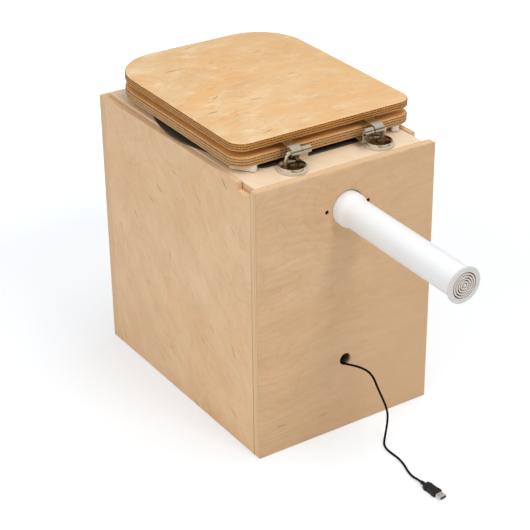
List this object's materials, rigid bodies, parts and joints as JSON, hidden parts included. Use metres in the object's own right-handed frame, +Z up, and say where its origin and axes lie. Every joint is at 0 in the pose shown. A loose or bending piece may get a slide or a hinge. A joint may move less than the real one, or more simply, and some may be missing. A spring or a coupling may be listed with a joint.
{
  "type": "urine-diverting dry toilet",
  "caption": "Plywood box toilet with a hinged wooden seat and lid, a lift-off seat board with a urine-diverting insert, bucket and canister inside, and a fan-driven vent pipe at the back.",
  "frame": {"origin": "on the floor under the middle of the cabinet's footprint", "axes": "+Z up, +Y towards the back, where the vent pipe and the fan lead come out, -Y towards the front, where the user's legs are, +X to the left when the box is seen from behind"},
  "size_m": [0.3375, 0.7411, 0.5137],
  "materials": {
    "panel_plywood": "sanded, clear matt oil",
    "board_plywood": "sanded, clear matt oil",
    "seat_plywood": "clear satin varnish",
    "batten_wood": "planed",
    "insert_plastic": "fine matt",
    "bucket_plastic": "smooth",
    "canister_plastic": "natural, slightly waxy",
    "collar_plastic": "smooth",
    "pipe_plastic": "satin",
    "grille_plastic": "smooth",
    "fan_plastic": "matt",
    "hinge_chrome": "polished",
    "screw_steel": "zinc plated",
    "washer_plastic": "translucent",
    "buffer_rubber": "soft, smooth",
    "cable_sheath": "satin",
    "plug_plastic": "satin",
    "plug_metal": "bright nickel",
    "tongue_plastic": "smooth"
  },
  "bodies": {
    "cabinet": {"front_panel": "panel_plywood", "back_panel": "panel_plywood", "side_panel_left": "panel_plywood", "side_panel_right": "panel_plywood", "base_panel": "panel_plywood", "corner_battens": "batten_wood", "front_rail": "batten_wood", "back_rail": "batten_wood", "side_cleat_left": "batten_wood", "side_cleat_right": "batten_wood", "cleat_screws": "screw_steel", "fan_housing": "fan_plastic", "fan_frame": "fan_plastic", "fan_screws": "screw_steel", "vent_pipe": "pipe_plastic", "end_grille": "grille_plastic", "usb_cable": "cable_sheath", "usb_plug_body": "plug_plastic", "usb_plug_shell": "plug_metal", "usb_plug_tongue": "tongue_plastic"},
    "seat_board": {"seat_board": "board_plywood", "diverter_flange": "insert_plastic", "urine_bowl": "insert_plastic", "drain_spout": "insert_plastic", "solids_chute": "insert_plastic", "insert_screws": "screw_steel", "hinge_rod_left": "hinge_chrome", "hinge_rod_right": "hinge_chrome", "hinge_dish_left": "hinge_chrome", "hinge_dish_right": "hinge_chrome", "hinge_plate_left": "hinge_chrome", "hinge_plate_right": "hinge_chrome", "hinge_washers": "washer_plastic", "hinge_bolts": "screw_steel", "hinge_nuts": "screw_steel"},
    "seat": {"seat_ring": "seat_plywood", "seat_strap_left": "hinge_chrome", "seat_strap_right": "hinge_chrome", "seat_strap_screws": "screw_steel", "seat_buffers": "buffer_rubber"},
    "lid": {"lid": "seat_plywood", "lid_strap_left": "hinge_chrome", "lid_strap_right": "hinge_chrome", "lid_strap_screws": "screw_steel", "lid_bumpers": "buffer_rubber"},
    "fan_rotor": {"fan_rotor": "fan_plastic"},
    "solids_bucket": {"solids_bucket": "bucket_plastic"},
    "urine_canister": {"urine_canister": "canister_plastic", "canister_shoulder": "canister_plastic", "canister_collar": "collar_plastic"}
  },
  "joints": [
    {"name": "seat_board_lift", "type": "slide", "parent": "cabinet", "child": "seat_board", "axis": [0, 0, 1], "range_m": [0, 0.25]},
    {"name": "seat_hinge", "type": "hinge", "parent": "seat_board", "child": "seat", "pos_m": [0, 0.19256, 0.4832], "axis": [-1, 0, 0], "range_deg": [0, 93]},
    {"name": "lid_hinge", "type": "hinge", "parent": "seat", "child": "lid", "pos_m": [0, 0.19256, 0.4832], "axis": [-1, 0, 0], "range_deg": [0, 90]},
    {"name": "fan_spin", "type": "hinge", "parent": "cabinet", "child": "fan_rotor", "pos_m": [0, 0.19825, 0.39063], "axis": [0, 1, 0], "continuous": true},
    {"name": "bucket_lift", "type": "slide", "parent": "cabinet", "child": "solids_bucket", "axis": [0, 0, 1], "range_m": [0, 0.04]},
    {"name": "canister_lift", "type": "slide", "parent": "cabinet", "child": "urine_canister", "axis": [0, 0, 1], "range_m": [0, 0.05]}
  ]
}
